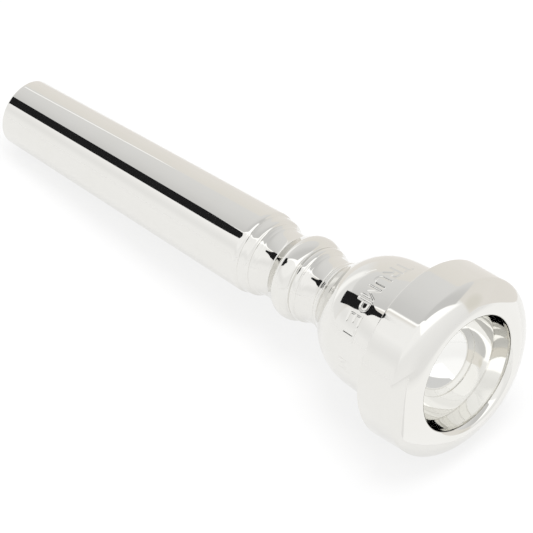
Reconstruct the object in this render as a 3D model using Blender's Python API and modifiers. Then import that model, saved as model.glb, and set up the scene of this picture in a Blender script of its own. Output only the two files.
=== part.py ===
"""Three-piece cup mouthpiece for a trumpet: rim, cup and shank on one axis.

The mouthpiece lies on its side on the XY plane, touching it with the tip of its shank and the
back edge of its rim's collar, so its axis climbs slightly towards +X, the player's end. Every
piece is turned about that axis. The shank's spigot fits the foot of the cup, and the cup's
spigot fits the rim; plain cylinders stand for the screw threads on them.
"""
import math

import bmesh
import bpy

# Lengths are in millimetres, and MM turns them into Blender's metres. A station is a distance
# along the axis from the tip of the shank; profile points are (station, radius).
MM = 0.001
STEPS = 30
CLEARANCE = 0.3

LENGTH = 86.7
TIP_RADIUS = 4.87
TIP_CHAMFER = 0.15
TAPER_LENGTH = 24.0
TAPER_SLOPE = 0.0249
SHANK_END = (47.7, 6.0)

FIRST_NECK = (52.0, 4.86)
BEAD_CREST = (56.2, 6.12)
SECOND_NECK = (60.5, 4.87)
CUP_SEAM = (62.6, 5.14)

BACKBORE_MOUTH_RADIUS = 4.2
THROAT_RADIUS = 1.83
THROAT_START = 66.0
THROAT_END = 74.6
SHANK_SPIGOT_RADIUS = 3.45
SHANK_SPIGOT_END = 69.3

BOWL_RADIUS = 9.85
BOWL_SHOULDER = (70.5, 9.42)
CUP_SPIGOT_END = 83.0
CUP_MOUTH_RADIUS = 8.28

COLLAR_RADIUS = 13.09
COLLAR_BACK = 78.5
COLLAR_FRONT = 84.1
COLLAR_CHAMFER = 0.1
CREST_RADIUS = 9.3
CROWN_PULL = 10.4
BITE_DEPTH = 1.2

SILVER = (0.93, 0.91, 0.88, 1.0)
POLISHED_ROUGHNESS = 0.06
BRUSHED_ROUGHNESS = 0.12


def bezier(start, pull_out, pull_in, end, count):
    """Points on a cubic curve, without its start point."""
    points = []
    for i in range(1, count + 1):
        t = i / count
        weights = ((1 - t) ** 3, 3 * t * (1 - t) ** 2, 3 * t * t * (1 - t), t ** 3)
        corners = (start, pull_out, pull_in, end)
        points.append(tuple(sum(w * p[k] for w, p in zip(weights, corners)) for k in (0, 1)))
    return points


def ellipse_arc(centre, half_width, half_height, first, last, count):
    """Points on an ellipse from one angle to another; 90 degrees is its crest."""
    points = []
    for i in range(count + 1):
        angle = math.radians(first + (last - first) * i / count)
        station = centre[0] + half_width * math.cos(angle)
        points.append((station, centre[1] + half_height * math.sin(angle)))
    return points


def neck(left, bottom, right, count):
    """A hollow between two shoulders, from its right one down to its left one."""
    right_pull = (bottom[0] + 0.45 * (right[0] - bottom[0]), bottom[1])
    left_pull = (bottom[0] - 0.45 * (bottom[0] - left[0]), bottom[1])
    right_mid = (right[0] - 0.3 * (right[0] - bottom[0]), right[1] - 0.6 * (right[1] - bottom[1]))
    left_mid = (left[0] + 0.3 * (bottom[0] - left[0]), left[1] - 0.6 * (left[1] - bottom[1]))
    down = bezier(right, right_mid, right_pull, bottom, count)
    return [right] + down + bezier(bottom, left_pull, left_mid, left, count)


def shank_outline():
    """The shank's outside, from the shoulder under the cup down to the tip."""
    points = neck((58.9, 5.1), SECOND_NECK, CUP_SEAM, 4)
    points += [(58.5, 5.3), (57.8, 5.47)]
    points += ellipse_arc((BEAD_CREST[0], 5.0), 1.6, BEAD_CREST[1] - 5.0, 20, 150, 8)
    points += neck((50.4, 5.1), FIRST_NECK, (54.0, 5.28), 4)
    points += [(50.0, 5.32), (49.7, 5.54), (49.1, 5.7), (48.5, 5.75), (48.2, 5.66)]
    taper_end = (TAPER_LENGTH, TIP_RADIUS + TAPER_SLOPE * TAPER_LENGTH)
    points += [SHANK_END, taper_end, (TIP_CHAMFER, TIP_RADIUS)]
    return points + [(0.0, TIP_RADIUS - TIP_CHAMFER)]


def shank_profile():
    """The shank with its spigot and its flaring backbore."""
    points = [(SHANK_SPIGOT_END, SHANK_SPIGOT_RADIUS), (CUP_SEAM[0], SHANK_SPIGOT_RADIUS)]
    points += shank_outline()
    mouth = (0.0, BACKBORE_MOUTH_RADIUS)
    throat = (THROAT_START, THROAT_RADIUS)
    points += [mouth] + bezier(mouth, (25.0, 3.8), (48.0, 2.3), throat, 9)
    return points + [(SHANK_SPIGOT_END, THROAT_RADIUS)]


def cup_profile():
    """The bowl with its spigot, the socket in its foot, the throat and the cup's hollow."""
    foot = (CUP_SEAM[0] + CLEARANCE, CUP_SEAM[1] + 0.12)
    socket_radius = SHANK_SPIGOT_RADIUS + CLEARANCE
    socket_end = SHANK_SPIGOT_END + CLEARANCE
    bowl_top = (76.5, BOWL_RADIUS)
    cup_mouth = (CUP_SPIGOT_END, CUP_MOUTH_RADIUS)
    cup_floor = (THROAT_END, THROAT_RADIUS)
    points = [(CUP_SPIGOT_END, BOWL_RADIUS), bowl_top]
    points += bezier(bowl_top, (74.0, 9.78), (72.0, 9.58), BOWL_SHOULDER, 3)
    points += bezier(BOWL_SHOULDER, (66.1, 8.9), (65.1, 6.55), foot, 12)
    points += [(foot[0], socket_radius), (socket_end, socket_radius)]
    points += [(socket_end, THROAT_RADIUS), cup_floor]
    return points + bezier(cup_floor, (76.2, 2.1), (77.0, 7.6), cup_mouth, 12)


def rim_profile():
    """The collar and the crowned rim, hollow behind to take the cup's spigot."""
    socket_radius = BOWL_RADIUS + CLEARANCE
    socket_end = CUP_SPIGOT_END + CLEARANCE
    crest = (LENGTH, CREST_RADIUS)
    front = (COLLAR_FRONT, COLLAR_RADIUS)
    points = [crest] + bezier(crest, (LENGTH, CROWN_PULL), (84.9, COLLAR_RADIUS), front, 9)
    points += [(COLLAR_BACK + COLLAR_CHAMFER, COLLAR_RADIUS)]
    points += [(COLLAR_BACK, COLLAR_RADIUS - COLLAR_CHAMFER), (COLLAR_BACK, socket_radius)]
    points += [(socket_end, socket_radius), (socket_end, CUP_MOUTH_RADIUS)]
    bite_centre = (LENGTH - BITE_DEPTH, CREST_RADIUS)
    bite = ellipse_arc(bite_centre, BITE_DEPTH, CREST_RADIUS - CUP_MOUTH_RADIUS, -90, 0, 6)
    return points + bite[:-1]


def silver(name, roughness):
    """Silver plate over brass."""
    material = bpy.data.materials.new(name)
    material.use_nodes = True
    shader = material.node_tree.nodes["Principled BSDF"]
    shader.inputs["Base Color"].default_value = SILVER
    shader.inputs["Metallic"].default_value = 1.0
    shader.inputs["Roughness"].default_value = roughness
    material.diffuse_color = SILVER
    return material


def turned(name, profile, material, axis, collection):
    """A solid of revolution: the closed profile at +X, swept about its own Z by Screw."""
    mesh = bpy.data.meshes.new(name)
    shape = bmesh.new()
    ring = [shape.verts.new((r * MM, 0.0, s * MM)) for s, r in profile]
    for first, second in zip(ring, ring[1:] + ring[:1]):
        shape.edges.new((first, second))
    shape.to_mesh(mesh)
    shape.free()
    mesh.materials.append(material)
    piece = bpy.data.objects.new(name, mesh)
    collection.objects.link(piece)
    piece.parent = axis
    piece.rotation_euler.z = math.pi / STEPS
    sweep = piece.modifiers.new("Turn", "SCREW")
    sweep.axis = "Z"
    sweep.steps = STEPS
    sweep.render_steps = STEPS
    sweep.use_merge_vertices = True
    sweep.merge_threshold = 0.00001
    sweep.use_smooth_shade = True
    return piece


def reach(profiles, lean):
    """The lowest and highest X of the leaning profiles, measured from the shank's tip."""
    points = [point for profile in profiles for point in profile]
    back = min(s * math.cos(lean) - r * math.sin(lean) for s, r in points)
    front = max(s * math.cos(lean) + r * math.sin(lean) for s, r in points)
    return back, front


def place_axis(profiles, collection):
    """An empty whose Z is the mouthpiece's axis, with the box's bottom centre at the origin."""
    rest_length = COLLAR_BACK + COLLAR_CHAMFER - TIP_CHAMFER
    lean = math.atan2(COLLAR_RADIUS - TIP_RADIUS, rest_length)
    back, front = reach(profiles, lean)
    height = TIP_RADIUS * math.cos(lean) - TIP_CHAMFER * math.sin(lean)
    axis = bpy.data.objects.new("mouthpiece_axis", None)
    collection.objects.link(axis)
    axis.empty_display_size = 0.01
    axis.location = (-0.5 * (back + front) * MM, 0.0, height * MM)
    axis.rotation_euler = (0.0, math.pi / 2 - lean, 0.0)
    return axis


def build():
    for item in list(bpy.data.objects):
        bpy.data.objects.remove(item, do_unlink=True)
    collection = bpy.data.collections.new("trumpet_mouthpiece")
    bpy.context.scene.collection.children.link(collection)
    profiles = {"shank": shank_profile(), "cup": cup_profile(), "rim": rim_profile()}
    finishes = {"shank": BRUSHED_ROUGHNESS, "cup": POLISHED_ROUGHNESS, "rim": POLISHED_ROUGHNESS}
    axis = place_axis(profiles.values(), collection)
    for name, profile in profiles.items():
        material = silver(name + "_silver", finishes[name])
        turned(name, profile, material, axis, collection)
    bpy.context.view_layer.update()


build()
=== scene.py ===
"""Looks for the trumpet mouthpiece: silver-plated rim, cup and shank, turned on one axis.

Each CAD node is replaced by a finer turned piece of the same size. The pieces share the CAD's
profiles, and add what the CAD leaves out: softened edges, the fine rings beside the bead, screw
threads, turning marks and the stamp on the bowl.
"""

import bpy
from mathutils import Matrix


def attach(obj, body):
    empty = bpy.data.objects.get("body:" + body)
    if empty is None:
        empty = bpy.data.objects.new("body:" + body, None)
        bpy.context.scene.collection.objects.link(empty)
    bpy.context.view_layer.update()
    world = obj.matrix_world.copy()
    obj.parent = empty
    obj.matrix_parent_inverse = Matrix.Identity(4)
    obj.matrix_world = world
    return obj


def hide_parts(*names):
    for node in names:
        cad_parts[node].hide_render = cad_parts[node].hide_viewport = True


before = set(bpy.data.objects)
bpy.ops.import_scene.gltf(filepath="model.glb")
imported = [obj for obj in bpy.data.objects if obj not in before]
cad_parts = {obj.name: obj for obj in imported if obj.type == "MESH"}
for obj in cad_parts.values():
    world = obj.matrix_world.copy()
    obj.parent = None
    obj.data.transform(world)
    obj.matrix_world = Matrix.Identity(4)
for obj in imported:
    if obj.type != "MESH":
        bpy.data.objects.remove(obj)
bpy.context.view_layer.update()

import math

import bmesh
import bpy
import numpy as np
from mathutils import Matrix, Vector

# Lengths are in millimetres, and MM turns them into Blender's metres. A station is a distance
# along the axis from the tip of the shank; profile points are (station, radius). Turns are in
# degrees round the axis, from the top towards -Y.
MM = 0.001

# The CAD's driving sizes.
LENGTH = 86.7
TIP_RADIUS = 4.87
TIP_CHAMFER = 0.15
SHANK_END = (47.7, 6.0)
FIRST_NECK = (52.0, 4.86)
BEAD_CREST = (56.2, 6.12)
SECOND_NECK = (60.5, 4.87)
CUP_SEAM = (62.6, 5.14)
BACKBORE_MOUTH_RADIUS = 4.2
THROAT_RADIUS = 1.83
THROAT_START = 66.0
THROAT_END = 74.6
SHANK_SPIGOT_END = 69.3
BOWL_RADIUS = 9.85
BOWL_SHOULDER = (70.5, 9.42)
CUP_SPIGOT_END = 83.0
CUP_MOUTH_RADIUS = 8.28
COLLAR_RADIUS = 13.09
COLLAR_BACK = 78.5
COLLAR_FRONT = 84.1
COLLAR_CHAMFER = 0.1
CREST_RADIUS = 9.3
CROWN_PULL = (LENGTH, 10.4)
CROWN_SHOULDER = (84.9, COLLAR_RADIUS)
CAD_CROWN_STEPS = 9
BITE_DEPTH = 1.2

# What only the looks have.
SEAM_GAP = 0.03
LIP_GAP = 0.006
THREAD_PITCH = 0.9
THREAD_DEPTH = 0.3
CUP_THREAD_CREST = 9.78
SHANK_THREAD_CREST = 3.45
STAMP_STATION = 72.6
STAMP_HEIGHT = 2.1
STAMP_DEPTH = 0.1
STAMP_STROKE = 0.21
STAMP_REACH = BOWL_SHOULDER[1] + 0.2
STAMPS = (("TRUMPET", 22.0, 12.4), ("M", 88.0, 12.4))  # word, middle turn, turn between letters
FINE_TURN = 0.5
COARSE_TURN = 1.4
EVEN_TURNS = 288
SHARP_ANGLE = 50

# Each silver runs between two colours, and each polish between two roughnesses.
SILVER = ((0.788, 0.779, 0.748), (0.8, 0.792, 0.765))
# The inside silver is a lighter copy of the same silver: painted light in the hollows of the cup
# and the rim.
PAINTED_LIGHT_SILVER = ((0.885, 0.88, 0.855), (0.9, 0.896, 0.875))
POLISH = (0.02, 0.05)
INSIDE_POLISH = (0.03, 0.07)
MARK_DEPTH = 0.00002
OUTSIDE, INSIDE = 0, 1

# The stage and the camera, in metres and degrees.
WHITE = (1.0, 1.0, 1.0)
BLACK = (0.0, 0.0, 0.0)
BEIGE = (0.905, 0.878, 0.842)
FLOOR_GREY = (0.24, 0.24, 0.24)
FLOOR_GLOW = 0.715
FLOOR_REACH = 12.0
SHEET_REACH = 11.9
CARD_BLACK = (0.012, 0.012, 0.013)
CARD_CENTRE = (-0.1987, -0.0989, 0.157)
CARD_FACING = (-0.7116, -0.3714, 0.5964)
THIN_LIGHT_CENTRE = (-0.207, 0.121, 0.1405)
THIN_LIGHT_FACING = (0.69, -0.4, -0.5)
THIN_LIGHT_ALONG = (0.78, 0.58, -0.24)
OVERHEAD_POWER = 2.6
OVERHEAD_WIDTH = 0.45
OVERHEAD_PLACE = (0.06, 0.06, 0.7)
OVERHEAD_TILT = (-0.08, 0.04, 0.0)
CAMERA_TARGET = (-0.00074, 0.00546, 0.0)
CAMERA_DISTANCE = 0.6583
CAMERA_AZIMUTH = -44.763
CAMERA_ELEVATION = 44.214
CAMERA_LENS = 320.96


# ---------------------------------------------------------------- profiles

def bezier(start, pull_out, pull_in, end, count):
    """Points on a cubic curve, without its start point."""
    points = []
    for i in range(1, count + 1):
        t = i / count
        weights = ((1 - t) ** 3, 3 * t * (1 - t) ** 2, 3 * t * t * (1 - t), t ** 3)
        corners = (start, pull_out, pull_in, end)
        points.append(tuple(sum(w * p[k] for w, p in zip(weights, corners)) for k in (0, 1)))
    return points


def ellipse_arc(centre, half_width, half_height, first, last, count):
    """Points on an ellipse from one angle to another; 90 degrees is its crest."""
    points = []
    for i in range(count + 1):
        angle = math.radians(first + (last - first) * i / count)
        station = centre[0] + half_width * math.cos(angle)
        points.append((station, centre[1] + half_height * math.sin(angle)))
    return points


def neck(left, bottom, right, count):
    """A hollow between two shoulders, nearly straight along its bottom, from right to left."""
    right_pull = (bottom[0] + 0.8 * (right[0] - bottom[0]), bottom[1])
    left_pull = (bottom[0] - 0.8 * (bottom[0] - left[0]), bottom[1])
    right_mid = (right[0] - 0.12 * (right[0] - bottom[0]), right[1] - 0.6 * (right[1] - bottom[1]))
    left_mid = (left[0] + 0.12 * (bottom[0] - left[0]), left[1] - 0.6 * (left[1] - bottom[1]))
    down = bezier(right, right_mid, right_pull, bottom, count)
    return [right] + down + bezier(bottom, left_pull, left_mid, left, count)


def softened(corners, steps=5):
    """A polyline of (station, radius, rounding) with its corners rounded off."""
    points = []
    for i, (station, radius, rounding) in enumerate(corners):
        here = Vector((station, radius))
        if not rounding:
            points.append(tuple(here))
            continue
        before = Vector(corners[i - 1][:2]) - here
        after = Vector(corners[i + 1][:2]) - here
        start = here + before.normalized() * min(rounding, before.length * 0.5)
        end = here + after.normalized() * min(rounding, after.length * 0.5)
        for k in range(steps + 1):
            t = k / steps
            points.append(tuple(start * (1 - t) ** 2 + here * 2 * t * (1 - t) + end * t * t))
    return points


def line(start, end, count):
    """Evenly spaced points on a straight line, both ends included."""
    first, last = Vector(start), Vector(end)
    return [tuple(first.lerp(last, i / count)) for i in range(count + 1)]


# ---------------------------------------------------------------- relief cut into the surface

def thread(start, end, sign):
    """A screw thread's depth below its crest, running out at both ends; sign -1 is a nut's."""
    run_out = 0.6 * THREAD_PITCH

    def depth(station, turn):
        phase = (station / THREAD_PITCH - turn / 360.0) % 1.0
        cut = 1.0 - np.abs(2.0 * phase - 1.0)
        cut = np.clip(cut * 1.35 - 0.15, 0.0, 1.0)  # flat along the crest and the root
        fade = np.clip(np.minimum(station - start, end - station) / run_out, 0, 1)
        return -sign * THREAD_DEPTH * cut * fade
    return depth


def arc_stroke(centre, width, height, first, last, count=10):
    """A curved stroke of a letter, as points of an ellipse; 0 degrees is to the right."""
    angles = [math.radians(first + (last - first) * i / count) for i in range(count + 1)]
    return [(centre[0] + width * math.cos(a), centre[1] + height * math.sin(a)) for a in angles]


# Plain letters, as strokes in a box one unit tall.
LETTERS = {
    "T": [[(0.0, 1.0), (0.7, 1.0)], [(0.35, 1.0), (0.35, 0.0)]],
    "R": [[(0.0, 0.0), (0.0, 1.0), (0.35, 1.0)] + arc_stroke((0.35, 0.75), 0.27, 0.25, 90, -90)
          + [(0.0, 0.5)], [(0.33, 0.5), (0.66, 0.0)]],
    "U": [[(0.0, 1.0), (0.0, 0.3)] + arc_stroke((0.33, 0.3), 0.33, 0.3, 180, 360) + [(0.66, 1.0)]],
    "M": [[(0.0, 0.0), (0.0, 1.0), (0.38, 0.25), (0.76, 1.0), (0.76, 0.0)]],
    "P": [[(0.0, 0.0), (0.0, 1.0), (0.35, 1.0)] + arc_stroke((0.35, 0.73), 0.28, 0.27, 90, -90)
          + [(0.0, 0.46)]],
    "E": [[(0.62, 1.0), (0.0, 1.0), (0.0, 0.0), (0.62, 0.0)], [(0.0, 0.52), (0.5, 0.52)]],
}


def stamp_segments():
    """The stamped strokes as (x, y, x, y): x round the bowl, y along the axis, in millimetres."""
    segments = []
    for word, middle, spacing in STAMPS:
        for i, letter in enumerate(word):
            turn = middle + spacing * (i - 0.5 * (len(word) - 1))
            left = math.radians(turn) * STAMP_REACH - 0.35 * STAMP_HEIGHT
            for stroke in LETTERS[letter]:
                for a, b in zip(stroke, stroke[1:]):
                    segments.append((left + a[0] * STAMP_HEIGHT, a[1] * STAMP_HEIGHT,
                                     left + b[0] * STAMP_HEIGHT, b[1] * STAMP_HEIGHT))
    return segments


def stamp(station, turn):
    """The depth of the stamped words at each point of the bowl."""
    x = np.radians((turn + 180.0) % 360.0 - 180.0) * STAMP_REACH
    y = station - (STAMP_STATION - 0.5 * STAMP_HEIGHT)
    nearest = np.full(np.broadcast(x, y).shape, STAMP_REACH)
    for x0, y0, x1, y1 in stamp_segments():
        span = max((x1 - x0) ** 2 + (y1 - y0) ** 2, 1e-9)
        t = np.clip(((x - x0) * (x1 - x0) + (y - y0) * (y1 - y0)) / span, 0, 1)
        nearest = np.minimum(nearest, np.hypot(x - x0 - t * (x1 - x0), y - y0 - t * (y1 - y0)))
    groove = np.clip(1.0 - nearest / STAMP_STROKE, 0, 1)
    return -STAMP_DEPTH * np.minimum(groove * 1.6, 1.0)  # steep sides and a flat floor


# ---------------------------------------------------------------- the three profiles
# Each is a list of stretches, run in one direction round the closed section.

def stretch(points, relief=None, slot=OUTSIDE):
    """Part of a profile, with the relief cut into it and its material slot."""
    return points, relief, slot


def shank_stretches():
    """The shank: spigot, fine rings and bead, taper, and the flaring backbore."""
    thread_start = CUP_SEAM[0] + 0.8
    spigot_face = SHANK_SPIGOT_END
    crest = SHANK_THREAD_CREST
    spigot = line((spigot_face - 0.35, crest), (thread_start, crest), 44)
    shoulder = softened([
        (thread_start - 0.15, crest, 0),
        (thread_start - 0.3, crest - 0.3, 0.05),
        (CUP_SEAM[0], crest - 0.3, 0.05),
        (CUP_SEAM[0], CUP_SEAM[1], 0.04),
        (CUP_SEAM[0] - 0.2, CUP_SEAM[1] - 0.03, 0),
    ])
    second = neck((59.55, 5.03), SECOND_NECK, (CUP_SEAM[0] - 0.25, CUP_SEAM[1] - 0.04), 26)
    rings = softened([
        (59.45, 5.05, 0),
        (59.25, 5.14, 0.12),
        (59.1, 5.26, 0.06),
        (58.98, 5.12, 0.04),
        (58.9, 5.2, 0.03),
        (58.72, 5.44, 0.12),
        (58.3, 5.5, 0.15),
        (58.02, 5.4, 0.1),
        (57.85, 5.34, 0.1),
        (57.72, 5.37, 0),
    ], 6)
    bead = ellipse_arc((BEAD_CREST[0], 5.0), 1.6, BEAD_CREST[1] - 5.0, 20, 150, 44)
    first = neck((50.85, 5.03), FIRST_NECK, (54.0, 5.28), 26)
    steps = softened([
        (50.75, 5.04, 0),
        (50.5, 5.1, 0.12),
        (50.22, 5.3, 0.1),
        (50.05, 5.2, 0.04),
        (49.96, 5.3, 0.03),
        (49.78, 5.56, 0.14),
        (49.4, 5.66, 0.2),
        (48.8, 5.7, 0.15),
        (48.5, 5.78, 0.12),
        (48.36, 5.62, 0.04),
        (48.26, 5.66, 0.04),
        (48.05, 5.92, 0.12),
        SHANK_END + (0.2,),
        (47.4, 5.995, 0),
    ], 6)
    taper = bezier(steps[-1], (32.0, 5.65), (16.0, 5.27), (0.6, TIP_RADIUS + 0.012), 24)
    mouth = BACKBORE_MOUTH_RADIUS
    tip = softened([
        (0.5, TIP_RADIUS + 0.01, 0),
        (0.0, TIP_RADIUS, 0.18),
        (0.0, mouth + 0.08, 0.12),
        (0.3, mouth - 0.03, 0),
    ], 6)
    throat = (THROAT_START, THROAT_RADIUS)
    backbore = bezier(tip[-1], (25.0, 3.8), (48.0, 2.3), throat, 30)
    face = softened([
        (spigot_face - 0.3, THROAT_RADIUS, 0),
        (spigot_face, THROAT_RADIUS, 0.12),
        (spigot_face, crest - 0.15, 0.08),
        (spigot_face - 0.3, crest, 0),
    ], 4)
    return [
        stretch(spigot, thread(CUP_SEAM[0] + 0.5, spigot_face - 0.35, 1)),
        stretch(shoulder),
        stretch(second),
        stretch(rings),
        stretch(bead),
        stretch(first),
        stretch(steps),
        stretch(taper),
        stretch(tip),
        stretch(backbore),
        stretch(face),
    ]


def cup_stretches():
    """The bowl with its foot ring and stamp, both threads, the throat and the cup's hollow."""
    foot = (CUP_SEAM[0] + SEAM_GAP, CUP_SEAM[1] + 0.06)
    crest = CUP_THREAD_CREST
    spigot = line((CUP_SPIGOT_END - 0.35, crest), (COLLAR_BACK + 0.5, crest), 32)
    ledge = softened([
        (COLLAR_BACK + 0.4, crest - 0.3, 0.05),
        (COLLAR_BACK + 0.05, crest - 0.3, 0.05),
        (COLLAR_BACK - 0.02, BOWL_RADIUS, 0.04),
        (COLLAR_BACK - 0.3, BOWL_RADIUS, 0),
    ], 3)
    upper = line((78.1, BOWL_RADIUS), (76.5, BOWL_RADIUS), 4)
    shoulder = bezier(upper[-1], (75.6, 9.83), (74.8, 9.79), (74.3, 9.745), 8)
    middle = bezier(shoulder[-1], (73.2, 9.65), (72.0, 9.58), BOWL_SHOULDER, 46)
    lower_end = (63.25, 5.5)
    lower = bezier(BOWL_SHOULDER, (66.1, 8.9), (65.1, 6.55), lower_end, 40)
    ring = softened([
        (63.1, 5.42, 0),
        (62.98, 5.4, 0.04),
        (62.88, 5.3, 0.04),
        (62.72, 5.3, 0.05),
        foot + (0.04,),
        (foot[0], SHANK_THREAD_CREST + 0.12, 0.04),
        (foot[0] + 0.3, SHANK_THREAD_CREST + 0.1, 0),
    ], 4)
    socket_end = SHANK_SPIGOT_END + 0.2
    nut = SHANK_THREAD_CREST + 0.08
    socket = line((foot[0] + 0.5, nut), (socket_end - 0.3, nut), 34)
    floor = softened([
        (socket_end - 0.2, nut, 0),
        (socket_end, nut, 0.05),
        (socket_end, THROAT_RADIUS, 0.05),
        (socket_end + 0.3, THROAT_RADIUS, 0),
    ], 3)
    throat = [(THROAT_END - 0.5, THROAT_RADIUS), (THROAT_END - 0.2, THROAT_RADIUS)]
    mouth = (CUP_SPIGOT_END - 0.1, CUP_MOUTH_RADIUS - 0.002)
    hollow = bezier((THROAT_END, THROAT_RADIUS), (76.2, 2.1), (77.0, 7.6), mouth, 44)
    lip = softened([
        (CUP_SPIGOT_END - 0.05, CUP_MOUTH_RADIUS, 0),
        (CUP_SPIGOT_END, CUP_MOUTH_RADIUS, 0),
        (CUP_SPIGOT_END, crest - 0.15, 0.08),
        (CUP_SPIGOT_END - 0.3, crest, 0),
    ], 3)
    return [
        stretch(spigot, thread(COLLAR_BACK + 0.5, CUP_SPIGOT_END - 0.35, 1)),
        stretch(ledge),
        stretch(upper),
        stretch(shoulder),
        stretch(middle, stamp),
        stretch(lower),
        stretch(ring),
        stretch(socket, thread(foot[0] + 0.5, socket_end - 0.3, -1)),
        stretch(floor),
        stretch(throat),
        stretch(hollow, slot=INSIDE),
        stretch(lip),
    ]


def rim_stretches():
    """The collar and the crowned rim, threaded inside to take the cup."""
    crest = (LENGTH, CREST_RADIUS)
    front = (COLLAR_FRONT, COLLAR_RADIUS)
    crown = [crest] + bezier(crest, CROWN_PULL, CROWN_SHOULDER, front, 48)
    nut = BOWL_RADIUS + 0.04
    collar = softened([
        (COLLAR_FRONT - 0.3, COLLAR_RADIUS, 0),
        (COLLAR_BACK + 0.5, COLLAR_RADIUS, 0),
        (COLLAR_BACK, COLLAR_RADIUS, 0.18),
        (COLLAR_BACK, nut, 0.06),
        (COLLAR_BACK + 0.3, nut, 0),
    ], 6)
    socket_end = CUP_SPIGOT_END + LIP_GAP
    socket = line((COLLAR_BACK + 0.5, nut), (socket_end - 0.3, nut), 34)
    floor = softened([
        (socket_end - 0.2, nut, 0),
        (socket_end, nut, 0.05),
        (socket_end, CUP_MOUTH_RADIUS, 0),
        (socket_end + 0.1, CUP_MOUTH_RADIUS, 0),
    ], 3)
    bite_centre = (LENGTH - BITE_DEPTH, CREST_RADIUS)
    bite = ellipse_arc(bite_centre, BITE_DEPTH, CREST_RADIUS - CUP_MOUTH_RADIUS, -90, 0, 28)
    wall = line((socket_end + 0.2, CUP_MOUTH_RADIUS), (bite[0][0] - 0.1, CUP_MOUTH_RADIUS), 6)
    return [
        stretch(crown),
        stretch(collar),
        stretch(socket, thread(COLLAR_BACK + 0.5, socket_end - 0.3, -1)),
        stretch(floor),
        stretch(wall, slot=INSIDE),
        stretch(bite[:-1]),
    ]


# ---------------------------------------------------------------- building

def place_of_axis():
    """Where the CAD lays the axis: the tip's centre, and the axis's slope towards +X."""
    rest_length = COLLAR_BACK + COLLAR_CHAMFER - TIP_CHAMFER
    lean = math.atan2(COLLAR_RADIUS - TIP_RADIUS, rest_length)
    outline = [(0.0, TIP_RADIUS - TIP_CHAMFER), (LENGTH, CREST_RADIUS)]
    outline += bezier(outline[-1], CROWN_PULL, CROWN_SHOULDER, (COLLAR_FRONT, COLLAR_RADIUS),
                      CAD_CROWN_STEPS)
    back = min(s * math.cos(lean) - r * math.sin(lean) for s, r in outline)
    front = max(s * math.cos(lean) + r * math.sin(lean) for s, r in outline)
    height = TIP_RADIUS * math.cos(lean) - TIP_CHAMFER * math.sin(lean)
    return Vector((-0.5 * (back + front) * MM, 0.0, height * MM)), lean


TIP_PLACE, LEAN = place_of_axis()
AXIS = Vector((math.cos(LEAN), 0.0, math.sin(LEAN)))


def turned(name, stretches, turns, body, materials):
    """A solid of revolution from a closed profile, at the given turns, riding on its CAD body."""
    rings = []
    slots = []
    angle = np.radians(turns)
    for points, relief, slot in stretches:
        slots += [slot] * len(points)
        for station, radius in points:
            reach = np.full(turns.shape, radius)
            if relief:
                reach = reach + relief(np.array(station), turns)
            ring = np.stack([-reach * np.cos(angle), -reach * np.sin(angle),
                             np.full(turns.shape, station)], axis=1)
            rings.append(ring * MM)
    rows, columns = len(rings), len(turns)
    index = np.arange(rows * columns).reshape(rows, columns)
    below = np.roll(index, -1, axis=0)
    quads = np.stack([index, np.roll(index, -1, axis=1),
                      np.roll(below, -1, axis=1), below], axis=-1).reshape(-1, 4)
    mesh = bpy.data.meshes.new(name)
    mesh.from_pydata(np.concatenate(rings).tolist(), [], quads.tolist())
    shape = bmesh.new()
    shape.from_mesh(mesh)
    bmesh.ops.recalc_face_normals(shape, faces=shape.faces)
    shape.to_mesh(mesh)
    shape.free()
    mesh.polygons.foreach_set("use_smooth", [True] * len(mesh.polygons))
    mesh.set_sharp_from_angle(angle=math.radians(SHARP_ANGLE))
    for material in materials:
        mesh.materials.append(material)
    mesh.polygons.foreach_set("material_index", np.repeat(slots, columns))
    mesh.transform(Matrix.Translation(TIP_PLACE) @ Matrix.Rotation(math.pi / 2 - LEAN, 4, "Y"))
    piece = bpy.data.objects.new(name, mesh)
    bpy.context.scene.collection.objects.link(piece)
    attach(piece, body)
    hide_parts(body)


# ---------------------------------------------------------------- materials

def add(tree, kind, **settings):
    """A new node with its properties set; a setting named after a socket fills that socket."""
    node = tree.nodes.new(kind)
    for key, value in settings.items():
        if hasattr(node, key):
            setattr(node, key, value)
        else:
            node.inputs[key.replace("_", " ")].default_value = value
    return node


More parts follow.
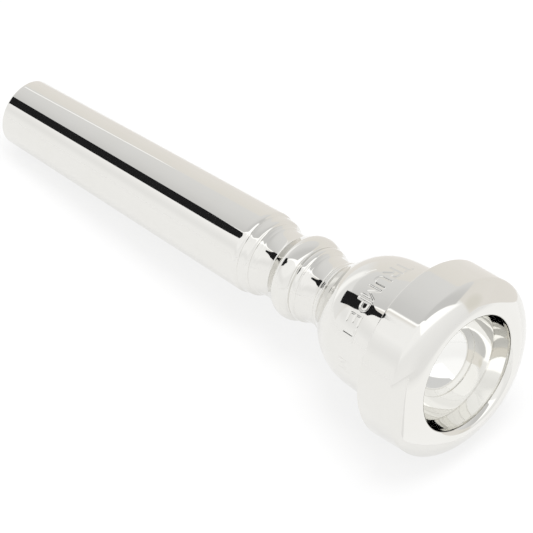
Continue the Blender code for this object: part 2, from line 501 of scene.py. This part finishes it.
def silver_plate(name, mark_spacing, mark_strength, haze, colour=SILVER):
    """Polished silver plate: fine turning marks round the axis and a faint patchy haze."""
    material = bpy.data.materials.new(name)
    material.use_nodes = True
    tree = material.node_tree
    link = tree.links.new
    shader = tree.nodes["Principled BSDF"]
    shader.inputs["Metallic"].default_value = 1.0

    # The mouthpiece's own place, with its axis as Z.
    mesh_place = add(tree, "ShaderNodeTexCoord")
    place = add(tree, "ShaderNodeMapping", vector_type="TEXTURE", Location=TIP_PLACE,
                Rotation=(0.0, math.pi / 2 - LEAN, 0.0))
    link(mesh_place.outputs["Object"], place.inputs["Vector"])

    # Colour: silver, a touch yellower in broad patches.
    blotch = add(tree, "ShaderNodeTexNoise", Scale=140.0, Detail=3.0, Roughness=0.55)
    link(place.outputs["Vector"], blotch.inputs["Vector"])
    tint = add(tree, "ShaderNodeValToRGB")
    for element, position, silver in zip(tint.color_ramp.elements, (0.35, 0.7), colour):
        element.position = position
        element.color = (*silver, 1.0)
    link(blotch.outputs["Fac"], tint.inputs["Fac"])
    link(tint.outputs["Color"], shader.inputs["Base Color"])

    # Roughness: nearly a mirror, with patches of haze.
    patches = add(tree, "ShaderNodeTexNoise", Scale=320.0, Detail=5.0, Roughness=0.6)
    link(place.outputs["Vector"], patches.inputs["Vector"])
    spread = add(tree, "ShaderNodeMapRange", From_Min=0.35, From_Max=0.75,
                 To_Min=haze[0], To_Max=haze[1])
    link(patches.outputs["Fac"], spread.inputs["Value"])
    link(spread.outputs["Result"], shader.inputs["Roughness"])

    # Turning marks: noise stretched round the axis, so it changes fast along it only.
    squeeze = add(tree, "ShaderNodeMapping", Scale=(0.03, 0.03, 1.0))
    link(place.outputs["Vector"], squeeze.inputs["Vector"])
    marks = add(tree, "ShaderNodeTexNoise", Scale=1000.0 / mark_spacing, Detail=4.0, Roughness=0.7)
    link(squeeze.outputs["Vector"], marks.inputs["Vector"])
    bump = add(tree, "ShaderNodeBump", Strength=mark_strength, Distance=MARK_DEPTH)
    link(marks.outputs["Fac"], bump.inputs["Height"])
    link(bump.outputs["Normal"], shader.inputs["Normal"])
    return material


def plain(name, colour, glow, glow_colour=WHITE):
    """A matt stage material that also gives off some light of its own."""
    material = bpy.data.materials.new(name)
    material.use_nodes = True
    shader = material.node_tree.nodes["Principled BSDF"]
    shader.inputs["Base Color"].default_value = (*colour, 1.0)
    shader.inputs["Roughness"].default_value = 1.0
    shader.inputs["Specular IOR Level"].default_value = 0.0
    shader.inputs["Emission Color"].default_value = (*glow_colour, 1.0)
    shader.inputs["Emission Strength"].default_value = glow
    return material


# ---------------------------------------------------------------- stage

def flat(name, corners, material):
    """A flat stage item that only reflections show."""
    mesh = bpy.data.meshes.new(name)
    mesh.from_pydata([tuple(corner) for corner in corners], [], [tuple(range(len(corners)))])
    mesh.materials.append(material)
    item = bpy.data.objects.new(name, mesh)
    bpy.context.scene.collection.objects.link(item)
    item.visible_camera = False
    item.visible_diffuse = False
    item.visible_shadow = False


def panel(name, centre, facing, along, outline, material):
    """A flat item square to facing; its outline is measured along the given direction and up."""
    facing = Vector(facing).normalized()
    across = (Vector(along) - Vector(along).dot(facing) * facing).normalized()
    up = facing.cross(across)
    flat(name, [Vector(centre) + across * x + up * y for x, y in outline], material)


def sheet(name, height, outline, material):
    """A flat item lying just above the floor."""
    flat(name, [(x, y, height) for x, y in outline], material)


def aim(azimuth, elevation):
    """A unit direction from degrees round from +X and above the floor."""
    a, e = math.radians(azimuth), math.radians(elevation)
    return Vector((math.cos(a) * math.cos(e), math.sin(a) * math.cos(e), math.sin(e)))


def build_floor():
    """The pale floor that the mouthpiece lies on."""
    mesh = bpy.data.meshes.new("floor")
    corners = [(-1, -1, 0), (1, -1, 0), (1, 1, 0), (-1, 1, 0)]
    mesh.from_pydata([Vector(corner) * FLOOR_REACH for corner in corners], [], [(0, 1, 2, 3)])
    mesh.materials.append(plain("floor_white", FLOOR_GREY, FLOOR_GLOW))
    floor = bpy.data.objects.new("floor", mesh)
    bpy.context.scene.collection.objects.link(floor)


def build_card():
    """A dark card hung beyond the tip, which a polished tube shows as a black stripe."""
    outline = ((-0.0765, -0.0405), (0.02, -0.0405), (0.045, -0.017), (0.08, -0.009),
               (0.08, 0.009), (0.045, 0.017), (0.02, 0.0405), (-0.0765, 0.0405))
    panel("dark_card", CARD_CENTRE, CARD_FACING, AXIS, outline,
          plain("card_black", CARD_BLACK, 0.004))


def build_sheets():
    """Papers on the floor that only the silver sees; where two overlap, the higher one shows."""
    far = SHEET_REACH
    back_corner = (0.337, 0.305)
    sheet("beige_sheet", 0.0004,
          ((-far, 0.02), (-0.03, 0.021), (0.045, 0.048), back_corner, (far, 10.5), (-far, 10.5)),
          plain("sheet_beige", BLACK, 1.0, BEIGE))

    # The grey sheet fades in along +X, so that its near edge doesn't show.
    grey = plain("sheet_grey", BLACK, 0.95)
    tree = grey.node_tree
    place = add(tree, "ShaderNodeTexCoord")
    split = add(tree, "ShaderNodeSeparateXYZ")
    tree.links.new(place.outputs["Object"], split.inputs["Vector"])
    fade = add(tree, "ShaderNodeMapRange", From_Min=0.1, From_Max=0.2)
    tree.links.new(split.outputs["X"], fade.inputs["Value"])
    tree.links.new(fade.outputs["Result"], tree.nodes["Principled BSDF"].inputs["Alpha"])
    sheet("grey_sheet", 0.0005,
          ((0.1, -0.035), (far, -4.7), (far, 10.5), back_corner, (0.1, 0.096)), grey)

    sheet("white_sheet", 0.0002,
          ((0.046, -0.0135), (0.062, -0.02), (0.3, -0.118), back_corner, (0.046, 0.049)),
          plain("sheet_white", BLACK, 1.1))
    sheet("front_sheet", 0.0001, ((-far, -far), (0.06, -far), (0.06, -0.2), (-far, -0.2)),
          plain("sheet_front", BLACK, 1.035))
    sheet("edge_strip", 0.0003,
          ((0.0465, -0.0137), (0.3, -0.118), (0.3, -0.121), (0.0475, -0.015)),
          plain("strip_grey", BLACK, 0.93))


def build_lights():
    """A thin light that draws a line along the tip, and a broad one that only the floor shows."""
    outline = ((-0.026, -0.0035), (0.026, -0.0035), (0.026, 0.0035), (-0.026, 0.0035))
    panel("thin_light", THIN_LIGHT_CENTRE, THIN_LIGHT_FACING, THIN_LIGHT_ALONG, outline,
          plain("light_thin", BLACK, 1.2))

    lamp = bpy.data.lights.new("overhead", "AREA")
    lamp.shape = "DISK"
    lamp.size = OVERHEAD_WIDTH
    lamp.energy = OVERHEAD_POWER
    overhead = bpy.data.objects.new("overhead", lamp)
    bpy.context.scene.collection.objects.link(overhead)
    overhead.location = OVERHEAD_PLACE
    overhead.rotation_euler = OVERHEAD_TILT
    overhead.visible_glossy = False
    overhead.visible_camera = False


def build_sky():
    """A pale studio: a grey ceiling, a beige wall behind, light walls in front and a window."""
    world = bpy.data.worlds.new("studio")
    bpy.context.scene.world = world
    world.use_nodes = True
    tree = world.node_tree
    link = tree.links.new

    place = add(tree, "ShaderNodeTexCoord")
    split = add(tree, "ShaderNodeSeparateXYZ")
    link(place.outputs["Generated"], split.inputs["Vector"])
    height = split.outputs["Z"]

    def ramp(value, stops):
        """Colours by a value from 0 to 1."""
        node = add(tree, "ShaderNodeValToRGB")
        elements = node.color_ramp.elements
        while len(elements) < len(stops):
            elements.new(0.5)
        for element, (position, colour) in zip(elements, stops):
            element.position = position
            element.color = (*colour, 1.0)
        link(value, node.inputs["Fac"])
        return node.outputs["Color"]

    def grey_ramp(value, stops):
        return ramp(value, [(position, (level, level, level)) for position, level in stops])

    def edge(value, low, high):
        """0 where the value is at low and beyond, rising to 1 at high."""
        node = add(tree, "ShaderNodeMapRange", From_Min=low, From_Max=high)
        link(value, node.inputs["Value"])
        return node.outputs["Result"]

    def product(*values):
        result = values[0]
        for value in values[1:]:
            node = add(tree, "ShaderNodeMath", operation="MULTIPLY")
            link(result, node.inputs[0])
            link(value, node.inputs[1])
            result = node.outputs["Value"]
        return result

    def mixed(share, one, other):
        """The first colour where share is 0, and the other where it is 1."""
        node = add(tree, "ShaderNodeMix", data_type="RGBA")
        link(share, node.inputs["Factor"])
        link(one, node.inputs["A"])
        link(other, node.inputs["B"])
        return node.outputs["Result"]

    def even(*colour):
        """The same colour everywhere."""
        return ramp(height, ((0.0, colour), (1.0, colour)))

    def towards(x, y, z):
        """How far the sky leans towards a direction, from -1 to 1."""
        node = add(tree, "ShaderNodeVectorMath", operation="DOT_PRODUCT")
        link(place.outputs["Generated"], node.inputs[0])
        node.inputs[1].default_value = Vector((x, y, z)).normalized()
        return node.outputs["Value"]

    def patch(azimuth, elevation, radius, soft):
        """1 inside a round patch, given in degrees with a soft edge."""
        return edge(towards(*aim(azimuth, elevation)), math.cos(math.radians(radius)),
                    math.cos(math.radians(radius - soft)))

    # The wall behind: beige, with a brown spot, and greyer beyond the tip.
    behind = towards(-0.56, 0.81, -0.12)
    wall = ramp(height, ((0.0, (0.915, 0.888, 0.853)), (0.3, (0.905, 0.88, 0.84)),
                         (0.5, (0.885, 0.862, 0.825))))
    wall = mixed(patch(43.0, 11.0, 11.0, 7.0), wall, even(0.825, 0.803, 0.745))
    end_wall = grey_ramp(height, ((0.0, 0.955), (0.2, 0.93), (0.5, 0.92)))
    wall = mixed(edge(split.outputs["X"], -0.76, -0.86), wall, end_wall)

    # A pale slanting blind on the end wall, which the bowl's foot shows.
    slant = towards(0.0615, -0.702, 0.709)
    blind = product(edge(slant, -0.15, -0.06), edge(slant, 0.15, 0.06),
                    edge(split.outputs["X"], -0.8, -0.88))
    wall = mixed(blind, wall, even(1.16, 1.16, 1.16))

    # The light walls in front, beside the player and behind the player.
    front = grey_ramp(height, ((0.0, 1.04), (0.1, 1.035), (0.18, 0.99), (0.27, 0.96),
                               (0.35, 0.985), (0.44, 1.04), (0.48, 1.08), (0.55, 1.07),
                               (1.0, 1.06)))
    player = grey_ramp(height, ((0.0, 0.94), (0.1, 0.95), (0.42, 1.01), (0.57, 1.08), (1.0, 1.1)))
    beside = grey_ramp(height, ((0.0, 1.03), (0.3, 1.0), (0.42, 1.0), (0.57, 1.08), (1.0, 1.1)))
    player = mixed(edge(split.outputs["Y"], -0.15, -0.42), player, beside)
    front = mixed(edge(split.outputs["X"], 0.0, 0.25), front, player)
    sky = mixed(edge(behind, -0.03, 0.01), front, wall)

    # A light high in front, which edges the collar.
    glare = even(1.35, 1.35, 1.35)
    rim_light = product(edge(height, 0.56, 0.62),
                        edge(towards(-0.036, 0.96, 0.241), -0.115, -0.085))
    sky = mixed(rim_light, sky, glare)

    # The ceiling: grey, and darker towards the front.
    window_side = towards(0.654, -0.628, -0.423)
    ceiling = grey_ramp(behind, ((0.0, 0.69), (0.2, 0.74), (0.3, 0.775), (0.41, 0.805),
                                 (0.62, 0.835), (1.0, 0.87)))
    overhead = product(edge(height, 0.465, 0.5), edge(towards(-0.136, 0.96, 0.241), -0.012, 0.012),
                       edge(window_side, 0.01, -0.03))
    sky = mixed(overhead, sky, ceiling)

    # The window before the player, which draws the bright curve on the rim's crown.
    window = product(edge(window_side, -0.03, 0.02),
                     edge(towards(-0.599, 0.142, 0.788), -0.1, -0.03),
                     edge(towards(0.028, 0.948, 0.317), -0.03, 0.01))
    sky = mixed(window, sky, glare)
    link(sky, tree.nodes["Background"].inputs["Color"])


def build_camera():
    """A long lens above the rim's side, looking down at the middle of the mouthpiece."""
    data = bpy.data.cameras.new("camera")
    data.sensor_width = 36.0
    data.sensor_fit = "HORIZONTAL"
    data.lens = CAMERA_LENS
    data.clip_start = 0.05
    data.clip_end = 50.0
    camera = bpy.data.objects.new("camera", data)
    bpy.context.scene.collection.objects.link(camera)
    back = aim(CAMERA_AZIMUTH, CAMERA_ELEVATION)
    camera.location = Vector(CAMERA_TARGET) + back * CAMERA_DISTANCE
    camera.rotation_mode = "QUATERNION"
    camera.rotation_quaternion = (-back).to_track_quat("-Z", "Y")
    bpy.context.scene.camera = camera


def build_pieces():
    """The three turned pieces; the cup's turns are closer together where it is stamped."""
    even = np.arange(0.0, 360.0, 360.0 / EVEN_TURNS)
    stamped = np.concatenate([np.arange(-30.0, 98.0, FINE_TURN),
                              np.arange(98.0, 330.0, COARSE_TURN)])
    shank = silver_plate("shank_silver", 0.25, 0.02, POLISH)
    cup = silver_plate("cup_silver", 0.18, 0.02, POLISH)
    rim = silver_plate("rim_silver", 0.4, 0.01, POLISH)
    # The insides take the lighter silver, as painted light in the hollows.
    cup_inside = silver_plate("cup_inside_silver_painted_light", 0.3, 0.015, INSIDE_POLISH, PAINTED_LIGHT_SILVER)
    rim_inside = silver_plate("rim_inside_silver_painted_light", 0.3, 0.015, INSIDE_POLISH, PAINTED_LIGHT_SILVER)
    turned("shank_turned", shank_stretches(), even, "shank", (shank,))
    turned("cup_turned", cup_stretches(), stamped, "cup", (cup, cup_inside))
    turned("rim_turned", rim_stretches(), even, "rim", (rim, rim_inside))


def main():
    build_pieces()
    build_floor()
    build_card()
    build_sheets()
    build_lights()
    build_sky()
    build_camera()
    bpy.context.scene.view_settings.view_transform = "Standard"


main()
